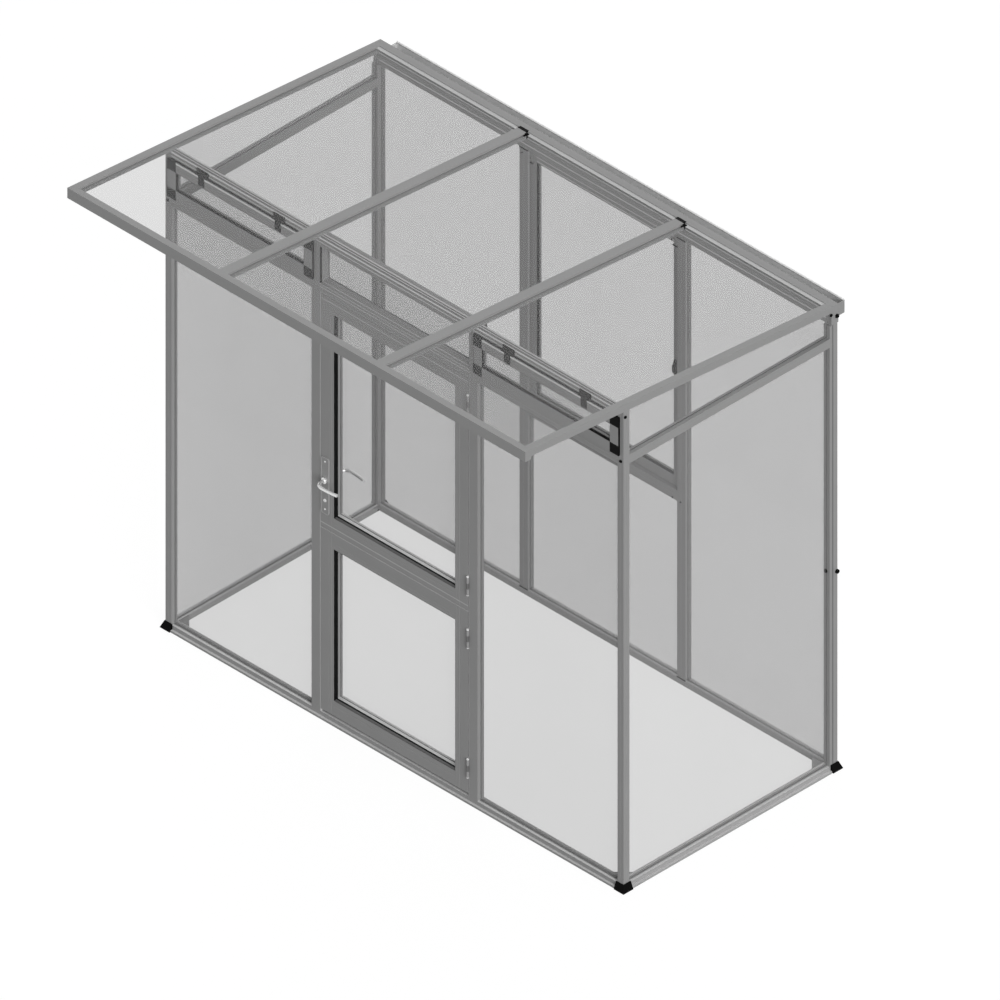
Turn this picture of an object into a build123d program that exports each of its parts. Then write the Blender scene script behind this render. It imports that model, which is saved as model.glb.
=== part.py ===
from build123d import *
import os

# Lean-to glass greenhouse. X runs along the front, Y from the front to the back wall, Z up.
# Walls are laid out from the outer face of the front left post, and every piece is moved at
# the end so that the origin is on the ground, under the middle of the whole thing.

# Overall sizes
plan_length = 2330
plan_depth = 1100
roof_front_height = 2165
roof_fall = 140
front_overhang = 495
back_overhang = 5

# Aluminium profiles
wall = 2.0
corner_post = 30
back_corner_post_depth = 39
bay_post_width = 42
door_post_depth = 50
door_post_front = 33
door_post_step = 17
rail_depth = 30
rail_height = 38
eaves_rail_height = 40
door_head_height = 36
vent_opening_height = 160
sill_height = 24
sill_lip = 11
sill_lip_height = 8
rafter_width = 30
rafter_height = 30
front_beam_height = 45
back_beam_height = 80
rafter_cap = 8
beam_cap = 3
line_half_width = 1.6
line_depth = 1.0
eaves_lines = (0.35, 0.7)
back_beam_line = 0.4
window_sill_bottom = 792
window_sill_height = 45

# Glazing
pane = 4.0
pane_setback = 18
roof_pane_drop = 8
fanlight_setback = 46
groove_depth = 8
pane_entry = 6
fit = 0.3
glazing_strip = 14
glazing_strip_thickness = 3

# Doors
door_opening = 752
door_gap = 5
door_bottom = 37
door_split = 828
door_member = 65
door_thickness = 45
door_lines = (42, 55)
door_pane_setback = 33
seal_thickness = 1.5
seal_depth = 20

# Hinges of the doors
knuckle_radius = 5.0
hinge_pin_radius = 2.5
pin_clearance = 0.05
hinge_height = 77
hinge_inset = 74
hinge_plate = 2.0
hinge_plate_depth = 34
knuckle_gap = 0.4

# Vents and back window
sash_member = 42
sash_corner = 43
sash_flange = 9
sash_body = 16
sash_overlap = 12
sash_top_overlap = 9
sash_bottom_gap = 4
sash_seal_depth = 12
sash_clearance = 0.5
vent_hinge_offset = 193
vent_hinge_width = 56
vent_hinge_strap = 30
vent_hinge_plate = 5
vent_hinge_barrel = 6
vent_barrel_sides = 16
vent_barrel_gap = 1
vent_hinge_pin = 3.5
vent_hinge_split = 1.5
vent_hinge_rib = 3
vent_hinge_rib_length = 16
vent_strap_margin = 4
vent_plate_lap = 4

# Gutter
gutter_inset = 28
gutter_depth = 59
gutter_height = 55
gutter_drop = 27
gutter_wall = 2.0
gutter_lip = 9

# Corner feet and post shoes
foot_length = 35
foot_reach = 15
foot_height = 30
foot_wall = 3
bracket_leg = 26
bracket_thickness = 2
shoe_thickness = 4
shoe_margin = 2

# Lever handle
lever_axis_from_edge = 26
lever_height = 1049
plate_width = 38
plate_height = 245
plate_thickness = 5
plate_corner = 9
plate_above_axis = 97
lever_neck_radius = 8
lever_rose_radius = 12.5
lever_rose_gap = 0.5
lever_rose_thickness = 6
lever_bar_radius = 6.5
lever_sides = 8
lever_reach = 50
lever_end_reach = 44
lever_length = 101
lever_bend = 26
keyhole_below_axis = 89
keyhole_radius = 5
spindle_half = 4
spindle_end = 10
spindle_hole_radius = 9

# Window handle
window_handle_height = 1362
window_handle_width = 28
window_handle_tall = 66
window_handle_base = 7
window_grip_length = 24
window_grip_width = 12
window_grip_depth = 12

# Worked out from the sizes above
length = plan_length - 2 * sill_lip
depth = plan_depth - 2 * sill_lip
roof_back = depth + back_overhang
roof_back_height = roof_front_height - roof_fall
slope = roof_fall / (front_overhang + roof_back)
front_fall = front_overhang * slope
eaves_rail_bottom = roof_front_height - front_fall - rafter_height - eaves_rail_height
side_rail_top = eaves_rail_bottom - vent_opening_height
side_rail_bottom = side_rail_top - rail_height
door_head_top = side_rail_top
door_head_bottom = door_head_top - door_head_height
back_beam_bottom = roof_back_height - back_beam_height
gutter_rim_height = roof_back_height - gutter_drop
door_left = (length - door_opening) / 2
door_right = door_left + door_opening
bay_left = door_left - bay_post_width
bay_right = door_right + bay_post_width
back_rail_front = depth - rail_depth
window_sill_top = window_sill_bottom + window_sill_height
groove_width = pane + 2 * fit
half_groove = groove_width / 2
half_pane = pane / 2
back_pane_y = depth - pane_setback
front_beam_back = rafter_width - front_overhang
gutter_bottom = gutter_rim_height - gutter_height
gutter_back = roof_back + gutter_depth
origin_x = length / 2
origin_y = (gutter_back - front_overhang) / 2

os.makedirs("parts", exist_ok=True)


def save(name, *solids):
    """Move the solids to the ground origin and write them as one node."""
    moved = [Pos(-origin_x, -origin_y, 0) * solid for solid in solids]
    pieces = [piece for shape in moved for piece in shape.solids()]
    export_step(Compound(children=pieces), f"parts/{name}.step")


def rect(x0, x1, y0, y1):
    return Pos((x0 + x1) / 2, (y0 + y1) / 2) * Rectangle(abs(x1 - x0), abs(y1 - y0))


def block(x0, x1, y0, y1, z0, z1):
    centre = Pos((x0 + x1) / 2, (y0 + y1) / 2, (z0 + z1) / 2)
    return centre * Box(abs(x1 - x0), abs(y1 - y0), abs(z1 - z0))


def upright(section, z0, z1):
    """A section drawn in X and Y, run upwards."""
    return Pos(0, 0, z0) * extrude(section, z1 - z0)


def along_x(section, x0, x1):
    """A section drawn in Y and Z, run along the front."""
    return extrude(Plane.YZ.offset(x0) * section, x1 - x0)


def along_y(section, y0, y1):
    """A section drawn in X and Z, run from front to back."""
    return extrude(Plane.XZ.offset(-y0) * section, -(y1 - y0))


def roof_z(y):
    """Height of the roof's top surface at a distance from the front posts."""
    return roof_front_height - (y + front_overhang) * slope


def down_slope(section, y0, y1):
    """A section drawn in X and depth below the roof's surface, run down the roof."""
    start = Plane.XZ.offset(-y0) * (Pos(0, roof_z(y0)) * section)
    run = Vector(0, y1 - y0, roof_z(y1) - roof_z(y0))
    return extrude(start, amount=run.length, dir=run.normalized())


def below_roof(shape, drop):
    """Cut a piece off at a given depth under the roof's surface."""
    y0 = -front_overhang - rafter_width
    y1 = gutter_back
    above = Polygon((y0, roof_z(y0) - drop), (y1, roof_z(y1) - drop),
                    (y1, 2 * roof_front_height), (y0, 2 * roof_front_height), align=None)
    return shape - along_x(above, -corner_post, length + corner_post)


def mirrored(x):
    return length - x


def fine_line(x, y, nx, ny):
    """A shallow V along a profile's face, drawn where its outward normal is nx, ny."""
    w, d = line_half_width, line_depth
    return Polygon((x - ny * w, y + nx * w), (x - nx * d, y - ny * d),
                   (x + ny * w, y - nx * w), (x + nx * d, y + ny * d), align=None)


# Ground sills: a hollow bar with an outward lip at the bottom and a glazing groove on top

def sill_section(outer, inward):
    at = lambda t: outer + inward * t
    bar = rect(at(0), at(rail_depth), 0, sill_height)
    bar += rect(at(-sill_lip), at(wall), 0, sill_lip_height)
    groove_bottom = sill_height - groove_depth
    bar -= rect(at(pane_setback - half_groove), at(pane_setback + half_groove),
                groove_bottom, sill_height)
    return bar - rect(at(wall), at(rail_depth - wall), wall, groove_bottom - wall)


def make_sill(outer, inward, start, end, run):
    """Run a sill between two corner posts and stop its lip at the corner feet."""
    bar = run(sill_section(outer, inward), start, end)
    lip_edge = outer - inward * (sill_lip + 1)
    for near, far in ((start - 1, start + foot_length - corner_post),
                      (end + 1, end - foot_length + corner_post)):
        if run is along_x:
            bar -= block(near, far, lip_edge, outer, -1, sill_lip_height + 1)
        else:
            bar -= block(lip_edge, outer, near, far, -1, sill_lip_height + 1)
    return bar


front_sill = make_sill(0, 1, corner_post, length - corner_post, along_x)
back_sill = make_sill(depth, -1, corner_post, length - corner_post, along_x)
side_sill_end = depth - back_corner_post_depth
left_sill = along_y(sill_section(0, 1), corner_post, side_sill_end)
left_sill -= block(-sill_lip - 1, 0, corner_post - 1, foot_length, -1, sill_lip_height + 1)
left_sill -= block(-sill_lip - 1, 0, side_sill_end + 1, depth - foot_length, -1, sill_lip_height + 1)
right_sill = mirror(left_sill, Plane.YZ.offset(length / 2))


# Corner feet: a base plate under the post, with a flared cover round its outer corner

def make_foot(x, y, dx, dy, post_depth):
    def angle(out, z):
        """The outline of the cover at one height, as far out as it reaches there."""
        points = [(-out, -out), (foot_length, -out), (foot_length, 0), (0, 0),
                  (0, foot_length), (-out, foot_length)]
        return Pos(0, 0, z) * make_face(Polyline(*points, close=True))

    cover = loft([angle(foot_reach, 0), angle(foot_wall, foot_height)], ruled=True)
    foot = cover + block(0, corner_post, 0, post_depth, 0, sill_lip_height)
    if dx < 0:
        foot = mirror(foot, Plane.YZ)
    if dy < 0:
        foot = mirror(foot, Plane.XZ)
    return Pos(x, y) * foot


corners = ((0, 0, 1, 1, corner_post), (length, 0, -1, 1, corner_post),
           (0, depth, 1, -1, back_corner_post_depth),
           (length, depth, -1, -1, back_corner_post_depth))
feet = [make_foot(*corner) for corner in corners]


# Corner posts: a hollow box with one groove for the long wall and one for the side wall

def corner_section(x, y, dx, dy, post_depth):
    ux = lambda t: x + dx * t
    uy = lambda t: y + dy * t
    near, far = pane_setback - half_groove, pane_setback + half_groove
    section = rect(ux(0), ux(corner_post), uy(0), uy(post_depth))
    section -= rect(ux(corner_post - groove_depth), ux(corner_post), uy(near), uy(far))
    section -= rect(ux(near), ux(far), uy(post_depth - groove_depth), uy(post_depth))
    section -= fine_line(ux(corner_post / 2), uy(0), 0, -dy)
    section -= fine_line(ux(0), uy(post_depth / 2), -dx, 0)
    return section - rect(ux(wall), ux(corner_post - groove_depth - wall),
                          uy(wall), uy(post_depth - groove_depth - wall))


front_posts = [below_roof(upright(corner_section(*corner), sill_lip_height, roof_front_height),
                          rafter_height) for corner in corners[:2]]
back_posts = [upright(corner_section(*corner), sill_lip_height, back_beam_bottom)
              for corner in corners[2:]]


# Brackets: flat three-cornered plates that tie the sills together in each inner corner

def make_bracket(x, y, dx, dy, post_depth):
    corner_x = x + dx * corner_post
    corner_y = y + dy * post_depth
    plate = Polygon((corner_x, corner_y), (corner_x + dx * bracket_leg, corner_y),
                    (corner_x, corner_y + dy * bracket_leg), align=None)
    return Pos(0, 0, sill_height + bracket_thickness / 2) * extrude(plate, bracket_thickness / 2, both=True)


brackets = [make_bracket(*corner) for corner in corners]


# Door posts, with a groove for the front pane on one side and the fanlight on the other

def door_post_section(side):
    section = rect(bay_left, door_left, 0, door_post_depth)
    section -= rect(bay_left, bay_left + door_post_step, door_post_front, door_post_depth)
    section -= rect(bay_left, bay_left + groove_depth,
                    pane_setback - half_groove, pane_setback + half_groove)
    section -= rect(door_left - groove_depth, door_left,
                    fanlight_setback - half_groove, fanlight_setback + half_groove)
    section -= rect(bay_left + groove_depth + wall, door_left - groove_depth - wall,
                    wall, door_post_front - wall)
    section -= rect(bay_left + door_post_step + wall, door_left - groove_depth - wall,
                    wall, door_post_depth - wall)
    return section if side == "left" else mirror(section, Plane.YZ.offset(length / 2))


def make_door_post(side):
    """The post stands on the sill, and its back part runs down behind it to the ground."""
    section = door_post_section(side)
    behind_sill = section & rect(0, length, rail_depth, door_post_depth)
    return upright(section, sill_height, eaves_rail_bottom) + upright(behind_sill, 0, sill_height)


door_posts = [make_door_post(side) for side in ("left", "right")]


# Back bay posts with a groove on both sides, on black shoes at both ends

def back_bay_section(x):
    section = rect(x, x + bay_post_width, back_rail_front, depth)
    for edge, inner in ((x, x + groove_depth),
                        (x + bay_post_width, x + bay_post_width - groove_depth)):
        section -= rect(edge, inner, back_pane_y - half_groove, back_pane_y + half_groove)
    section -= fine_line(x + bay_post_width / 2, back_rail_front, 0, -1)
    return section - rect(x + groove_depth + wall, x + bay_post_width - groove_depth - wall,
                          back_rail_front + wall, depth - wall)


back_bay_posts = [upright(back_bay_section(x), sill_height + shoe_thickness,
                          back_beam_bottom - shoe_thickness) for x in (bay_left, door_right)]


def post_shoe(x, z):
    outline = rect(x, x + bay_post_width, back_rail_front - shoe_margin, depth)
    for edge, inner in ((x, x + groove_depth),
                        (x + bay_post_width, x + bay_post_width - groove_depth)):
        outline -= rect(edge, inner, back_pane_y - half_groove, back_pane_y + half_groove)
    return upright(outline, z, z + shoe_thickness)


post_shoes = [post_shoe(x, z) for x in (bay_left, door_right)
              for z in (sill_height, back_beam_bottom - shoe_thickness)]


# Rails of the walls

def rail_section(y0, y1, z0, z1, groove_y, groove_at):
    """A hollow rail with a fine line in front, and a glazing groove below or on top."""
    section = rect(y0, y1, z0, z1) - fine_line(y0, (z0 + z1) / 2, -1, 0)
    low, high = z0 + wall, z1 - wall
    if groove_at == "under":
        section -= rect(groove_y - half_groove, groove_y + half_groove, z0, z0 + groove_depth)
        low += groove_depth
    if groove_at == "top":
        section -= rect(groove_y - half_groove, groove_y + half_groove, z1 - groove_depth, z1)
        high -= groove_depth
    return section - rect(y0 + wall, y1 - wall, low, high)


vent_rail_section = rail_section(0, rail_depth, side_rail_bottom, side_rail_top,
                                 pane_setback, "under")
vent_rails = [along_x(vent_rail_section, corner_post, bay_left),
              along_x(vent_rail_section, bay_right, length - corner_post)]
door_head = along_x(rail_section(0, door_post_depth, door_head_bottom, door_head_top,
                                 fanlight_setback, "top"), door_left, door_right)
window_sill = along_x(rail_section(back_rail_front, depth, window_sill_bottom, window_sill_top,
                                   back_pane_y, "under"), door_left, door_right)


def under_rafters(y0, y1, x0, x1, groove_y=None):
    """A hollow rail whose top follows the underside of the rafters."""
    low = eaves_rail_bottom + wall
    section = rect(y0, y1, eaves_rail_bottom, roof_front_height)
    if groove_y is not None:
        section -= rect(groove_y - half_groove, groove_y + half_groove,
                        eaves_rail_bottom, eaves_rail_bottom + groove_depth)
        low += groove_depth
    for share in eaves_lines:
        section -= fine_line(y0, eaves_rail_bottom + share * eaves_rail_height, -1, 0)
    section -= rect(y0 + wall, y1 - wall, low, roof_z(y1) - rafter_height - wall)
    return below_roof(along_x(section, x0, x1), rafter_height)


eaves_rail = under_rafters(0, rail_depth, corner_post, length - corner_post)
fanlight_head = under_rafters(rail_depth, door_post_depth, bay_left, bay_right, fanlight_setback)

side_rail_section = rail_section(0, rail_depth, side_rail_bottom, side_rail_top,
                                 pane_setback, "under")
side_rail_section -= rect(pane_setback - half_groove, pane_setback + half_groove,
                          side_rail_top - groove_depth, side_rail_top)
left_side_rail = along_y(side_rail_section, corner_post, side_sill_end)
right_side_rail = mirror(left_side_rail, Plane.YZ.offset(length / 2))


# Roof: front beam, back beam and four rafters, with the panes let into grooves between them

pane_top = -roof_pane_drop
pane_under = -roof_pane_drop - pane
slot_top = pane_top + fit
slot_under = pane_under - fit
roof_slot = down_slope(rect(rafter_width - groove_depth, length - rafter_width + groove_depth,
                            slot_under, slot_top),
                       front_beam_back - groove_depth, back_rail_front + groove_depth)

front_beam_section = rect(-front_overhang, front_beam_back,
                          roof_front_height - front_beam_height, roof_front_height + wall)
front_beam_section -= rect(wall - front_overhang, front_beam_back - groove_depth - wall,
                           roof_front_height - front_beam_height + wall,
                           roof_z(front_beam_back) - wall)
front_beam = below_roof(along_x(front_beam_section, beam_cap, length - beam_cap), 0) - roof_slot

back_beam_section = rect(back_rail_front, roof_back, back_beam_bottom, roof_front_height)
back_beam_section -= rect(back_pane_y - half_groove, back_pane_y + half_groove,
                          back_beam_bottom, back_beam_bottom + groove_depth)
back_beam_section -= rect(back_rail_front + groove_depth + wall, roof_back - wall,
                          back_beam_bottom + groove_depth + wall, roof_back_height - wall)
back_beam_section -= fine_line(back_rail_front, back_beam_bottom + back_beam_line * back_beam_height, -1, 0)
back_beam = below_roof(along_x(back_beam_section, beam_cap, length - beam_cap), 0) - roof_slot


def make_beam_cap(y0, y1, z0):
    """A thin plate with the beam's outline, which closes its left end."""
    return below_roof(along_x(rect(y0, y1, z0, roof_front_height + wall), 0, beam_cap), 0)


left_caps = [make_beam_cap(-front_overhang, front_beam_back, roof_front_height - front_beam_height),
             make_beam_cap(back_rail_front, roof_back, back_beam_bottom)]
right_caps = [mirror(cap, Plane.YZ.offset(length / 2)) for cap in left_caps]

end_rafter_section = rect(0, rafter_width, -rafter_height, 0)
end_rafter_section -= rect(rafter_width - groove_depth, rafter_width, slot_under, slot_top)
end_rafter_section -= rect(pane_setback - half_groove, pane_setback + half_groove,
                           -rafter_height, groove_depth - rafter_height)
end_rafter_section -= rect(wall, rafter_width - groove_depth - wall,
                           groove_depth + wall - rafter_height, -wall)
left_rafter = down_slope(end_rafter_section, front_beam_back, back_rail_front)
right_rafter = mirror(left_rafter, Plane.YZ.offset(length / 2))


def middle_rafter(x):
    """Return one middle rafter and the cap that closes its rear end."""
    outline = rect(x, x + bay_post_width, -rafter_height, 0)
    for edge, inner in ((x, x + groove_depth),
                        (x + bay_post_width, x + bay_post_width - groove_depth)):
        outline -= rect(edge, inner, slot_under, slot_top)
    section = outline - rect(x + groove_depth + wall, x + bay_post_width - groove_depth - wall,
                             wall - rafter_height, -wall)
    return (down_slope(section, front_beam_back, back_rail_front - rafter_cap),
            down_slope(outline, back_rail_front - rafter_cap, back_rail_front))


middle_rafters, rafter_caps = zip(*[middle_rafter(x) for x in (bay_left, door_right)])


# Panes

def roof_pane(x0, x1):
    return down_slope(rect(x0 - pane_entry, x1 + pane_entry, pane_under, pane_top),
                      front_beam_back - pane_entry, back_rail_front + pane_entry)


roof_bays = ((rafter_width, bay_left), (door_left, door_right), (bay_right, length - rafter_width))
roof_panes = [roof_pane(x0, x1) for x0, x1 in roof_bays]
strip_top = pane_top + glazing_strip_thickness
glazing_strips = [down_slope(rect(x0, x1, pane_top, strip_top),
                             back_rail_front - glazing_strip, back_rail_front)
                  for x0, x1 in roof_bays]

front_pane = block(corner_post - pane_entry, bay_left + pane_entry,
                   pane_setback - half_pane, pane_setback + half_pane,
                   sill_height - pane_entry, side_rail_bottom + pane_entry)
front_panes = [front_pane, mirror(front_pane, Plane.YZ.offset(length / 2))]
fanlight = block(door_left - pane_entry, door_right + pane_entry,
                 fanlight_setback - half_pane, fanlight_setback + half_pane,
                 door_head_top - pane_entry, eaves_rail_bottom + pane_entry)


def back_pane(x0, x1, top):
    return block(x0 - pane_entry, x1 + pane_entry, back_pane_y - half_pane,
                 back_pane_y + half_pane, sill_height - pane_entry, top + pane_entry)


back_side_pane = back_pane(corner_post, bay_left, back_beam_bottom)
back_panes = [back_side_pane, mirror(back_side_pane, Plane.YZ.offset(length / 2)),
              back_pane(door_left, door_right, window_sill_bottom)]

side_lower = block(pane_setback - half_pane, pane_setback + half_pane,
                   corner_post - pane_entry, side_sill_end + pane_entry,
                   sill_height - pane_entry, side_rail_bottom + pane_entry)
pane_edge = rafter_height - pane_entry
upper_y0, upper_y1 = corner_post - pane_entry, side_sill_end + pane_entry
side_upper_outline = Polygon((upper_y0, side_rail_top - pane_entry),
                             (upper_y1, side_rail_top - pane_entry),
                             (upper_y1, roof_z(upper_y1) - pane_edge),
                             (upper_y0, roof_z(upper_y0) - pane_edge), align=None)
side_upper = along_x(side_upper_outline, pane_setback - half_pane, pane_setback + half_pane)
left_side_panes = [side_lower, side_upper]
right_side_panes = [mirror(piece, Plane.YZ.offset(length / 2)) for piece in left_side_panes]


# Gutter: a trough with a rolled lip and closed ends, hung on the back beam

gutter_outline = rect(roof_back, gutter_back, gutter_bottom, gutter_rim_height)
gutter_outline -= rect(roof_back + gutter_wall, gutter_back - gutter_wall,
                       gutter_bottom + gutter_wall, gutter_rim_height)
gutter_outline += rect(gutter_back - gutter_lip, gutter_back,
                       gutter_rim_height - gutter_wall, gutter_rim_height)
gutter = along_x(gutter_outline, gutter_inset, length - gutter_inset)
gutter_end_outline = rect(roof_back, gutter_back, gutter_bottom, gutter_rim_height)
gutter += along_x(gutter_end_outline, gutter_inset, gutter_inset + gutter_wall)
gutter += along_x(gutter_end_outline, length - gutter_inset - gutter_wall, length - gutter_inset)


# Sashes: an outer flange that laps the frame, a body in the opening and black corner joints

def make_sash(x0, x1, z0, z1, face, inward, body_z0, body_z1, seal_outside):
    """Return the rails, stiles, corner joints, pane and seal of one sash."""
    at = lambda t: face + inward * t
    total = sash_flange + sash_body
    pane_at = sash_seal_depth + fit if seal_outside else total - sash_seal_depth - fit - pane
    seal_at = wall / 2 if seal_outside else total - sash_seal_depth
    body_x0 = x0 + sash_overlap + sash_clearance
    body_x1 = x1 - sash_overlap - sash_clearance
    ring = block(x0, x1, at(0), at(sash_flange), z0, z1)
    ring += block(body_x0, body_x1, at(sash_flange), at(total), body_z0, body_z1)
    ring -= block(x0 + sash_member, x1 - sash_member, at(-1), at(total + 1),
                  z0 + sash_member, z1 - sash_member)
    lap = sash_member - groove_depth
    ring -= block(x0 + lap, x1 - lap, at(pane_at - fit), at(pane_at + pane + fit),
                  z0 + lap, z1 - lap)
    hollow = sash_member - groove_depth - wall
    inner = sash_overlap + sash_clearance + wall
    for left, right in ((x0 + inner, x0 + hollow), (x1 - hollow, x1 - inner)):
        ring -= block(left, right, at(wall), at(total - wall), z0 + sash_corner, z1 - sash_corner)
    for low, high in ((z0 + inner, z0 + hollow), (z1 - hollow, z1 - inner)):
        ring -= block(x0 + sash_corner, x1 - sash_corner, at(wall), at(total - wall), low, high)
    deep = (at(-1), at(total + 1))
    middle = block(x0 + sash_corner, x1 - sash_corner, *deep, z0 - 1, z1 + 1)
    waist = block(x0 - 1, x1 + 1, *deep, z0 + sash_corner, z1 - sash_corner)
    rails = ring & middle
    stiles = ring & waist
    joints = ring - middle - waist
    glass = block(x0 + lap + fit, x1 - lap - fit, at(pane_at), at(pane_at + pane),
                  z0 + lap + fit, z1 - lap - fit)
    opening = block(x0 + sash_member, x1 - sash_member, at(seal_at),
                    at(seal_at + sash_seal_depth - wall / 2), z0 + sash_member, z1 - sash_member)
    seal = opening - block(x0 + sash_member + seal_thickness, x1 - sash_member - seal_thickness,
                           at(-1), at(total + 1), z0 + sash_member + seal_thickness,
                           z1 - sash_member - seal_thickness)
    return rails, stiles, joints, glass, seal


vent_x0 = corner_post - sash_overlap
vent_x1 = bay_left + sash_overlap
vent_z0 = side_rail_top + sash_bottom_gap
vent_z1 = eaves_rail_bottom + sash_top_overlap
left_vent = make_sash(vent_x0, vent_x1, vent_z0, vent_z1, -sash_flange, 1,
                      vent_z0, eaves_rail_bottom - sash_clearance, True)
right_vent = [mirror(piece, Plane.YZ.offset(length / 2)) for piece in left_vent]
window_z0 = window_sill_top + sash_bottom_gap
window_z1 = gutter_bottom - sash_clearance
window = make_sash(door_left - sash_overlap, door_right + sash_overlap, window_z0, window_z1,
                   depth + sash_flange, -1, window_z0, window_z1, False)


# Vent hinges: a plate on the eaves rail, a barrel and a strap on the sash

def vent_hinge(x):
    plate_z1 = roof_z(0) - rafter_height - wall
    barrel_z = vent_z1 + vent_hinge_barrel + vent_barrel_gap
    barrel_y = -vent_hinge_barrel - wall
    half, strap = vent_hinge_width / 2, vent_hinge_strap / 2
    third = vent_hinge_width / 3
    strap_face = -sash_flange - wall
    hinge = block(x - half, x + half, -vent_hinge_plate, 0, barrel_z - vent_plate_lap, plate_z1)
    hinge += block(x - strap, x + strap, strap_face, -sash_flange,
                   vent_z1 - sash_member + vent_strap_margin, barrel_z)
    hinge += block(x - vent_hinge_rib, x + vent_hinge_rib, strap_face - vent_hinge_rib,
                   -sash_flange, vent_z1 - vent_hinge_rib_length, barrel_z)
    ring = Pos(barrel_y, barrel_z) * RegularPolygon(vent_hinge_barrel, vent_barrel_sides)
    for start in (-half, -third / 2, half - third + vent_hinge_split):
        hinge += along_x(ring, x + start, x + start + third - vent_hinge_split)
    pin = Pos(barrel_y, barrel_z) * RegularPolygon(vent_hinge_pin, vent_barrel_sides)
    return hinge + along_x(pin, x - half, x + half)


vent_middle = (vent_x0 + vent_x1) / 2
vent_hinges = [vent_hinge(x) for middle in (vent_middle, mirrored(vent_middle))
               for x in (middle - vent_hinge_offset, middle + vent_hinge_offset)]


# Window handle: an oval rose with a small turned grip, on the right stile of the window

window_inner_face = depth - sash_body
grip_x = door_right - (sash_member - sash_overlap) / 2
rose = extrude(Ellipse(window_handle_width / 2, window_handle_tall / 2), window_handle_base)
grip = SlotCenterToCenter(window_grip_length, window_grip_width, rotation=90)
rose += Pos(0, 0, window_handle_base) * extrude(grip, window_grip_depth)
window_handle = Pos(grip_x, window_inner_face, window_handle_height) * Rot(90, 0, 0) * rose


# Doors: two leaves one above the other, each of two stiles, two rails, a pane and a seal

leaf_x0 = door_left + door_gap
leaf_x1 = door_right - door_gap


def stile_section(x_out, dx):
    at = lambda t: x_out + dx * t
    section = rect(at(0), at(door_member), 0, door_thickness)
    section -= rect(at(door_member - groove_depth), at(door_member),
                    door_pane_setback - fit, door_pane_setback + pane + fit)
    for line in door_lines:
        section -= fine_line(at(line), 0, 0, -1)
    return section - rect(at(wall), at(door_member - groove_depth - wall),
                          wall, door_thickness - wall)


def leaf_rail_section(z_out, dz):
    at = lambda t: z_out + dz * t
    section = rect(0, door_thickness, at(0), at(door_member))
    section -= rect(door_pane_setback - fit, door_pane_setback + pane + fit,
                    at(door_member - groove_depth), at(door_member))
    for line in door_lines:
        section -= fine_line(0, at(line), -1, 0)
    return section - rect(wall, door_thickness - wall,
                          at(wall), at(door_member - groove_depth - wall))


def make_leaf(z0, z1):
    stiles = [upright(stile_section(leaf_x0, 1), z0, z1), upright(stile_section(leaf_x1, -1), z0, z1)]
    inner_x0, inner_x1 = leaf_x0 + door_member, leaf_x1 - door_member
    inner_z0, inner_z1 = z0 + door_member, z1 - door_member
    rails = [along_x(leaf_rail_section(z0, 1), inner_x0, inner_x1),
             along_x(leaf_rail_section(z1, -1), inner_x0, inner_x1)]
    glass = block(inner_x0 - pane_entry, inner_x1 + pane_entry, door_pane_setback,
                  door_pane_setback + pane, inner_z0 - pane_entry, inner_z1 + pane_entry)
    seal = block(inner_x0, inner_x1, wall / 2, seal_depth, inner_z0, inner_z1)
    seal -= block(inner_x0 + seal_thickness, inner_x1 - seal_thickness, 0, door_thickness,
                  inner_z0 + seal_thickness, inner_z1 - seal_thickness)
    return stiles, rails, glass, seal


lower_z0, lower_z1 = door_bottom, door_split
upper_z0, upper_z1 = door_split + door_gap, door_head_bottom - door_gap
lower_stiles, lower_rails, lower_pane, lower_seal = make_leaf(lower_z0, lower_z1)
upper_stiles, upper_rails, upper_pane, upper_seal = make_leaf(upper_z0, upper_z1)


# Butt hinges: two knuckles and the pin on the post, one knuckle on the leaf

hinge_x = leaf_x1 + door_gap / 2
hinge_y = -knuckle_radius


def knuckle(z0, z1, bore):
    ring = Pos(hinge_x, hinge_y, z0) * extrude(Circle(knuckle_radius), z1 - z0)
    if bore:
        ring -= Pos(hinge_x, hinge_y, z0) * extrude(Circle(hinge_pin_radius + pin_clearance), z1 - z0)
    return ring


def make_hinge(top):
    bottom = top - hinge_height
    third = hinge_height / 3
    low, high = bottom + third, top - third
    post_side = Pos(hinge_x, hinge_y, bottom) * extrude(Circle(hinge_pin_radius), hinge_height)
    for z0, z1 in ((bottom, low), (high, top)):
        post_side += knuckle(z0, z1, False)
        post_side += block(door_right - hinge_plate, door_right, hinge_y, hinge_plate_depth, z0, z1)
    leaf_side = knuckle(low + knuckle_gap, high - knuckle_gap, True)
    tab = block(leaf_x1, leaf_x1 + hinge_plate, hinge_y, hinge_plate_depth,
                low + knuckle_gap, high - knuckle_gap)
    tab -= Pos(hinge_x, hinge_y, bottom) * extrude(Circle(hinge_pin_radius + pin_clearance), hinge_height)
    return post_side, leaf_side + tab


hinge_tops = {"lower": (lower_z0 + hinge_inset + hinge_height, lower_z1 - hinge_inset),
              "upper": (upper_z0 + hinge_inset + hinge_height, upper_z1 - hinge_inset)}
lower_hinges = [make_hinge(top) for top in hinge_tops["lower"]]
upper_hinges = [make_hinge(top) for top in hinge_tops["upper"]]


# Lock plates and lever on the free stile of the upper leaf

lever_x = leaf_x0 + lever_axis_from_edge
plate_z = lever_height + plate_above_axis - plate_height / 2


def along_door(radius, y, run):
    """A round bar on the lever's axis, from one face outwards."""
    return Pos(lever_x, y, lever_height) * Rot(-90, 0, 0) * extrude(Circle(radius), run)


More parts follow.
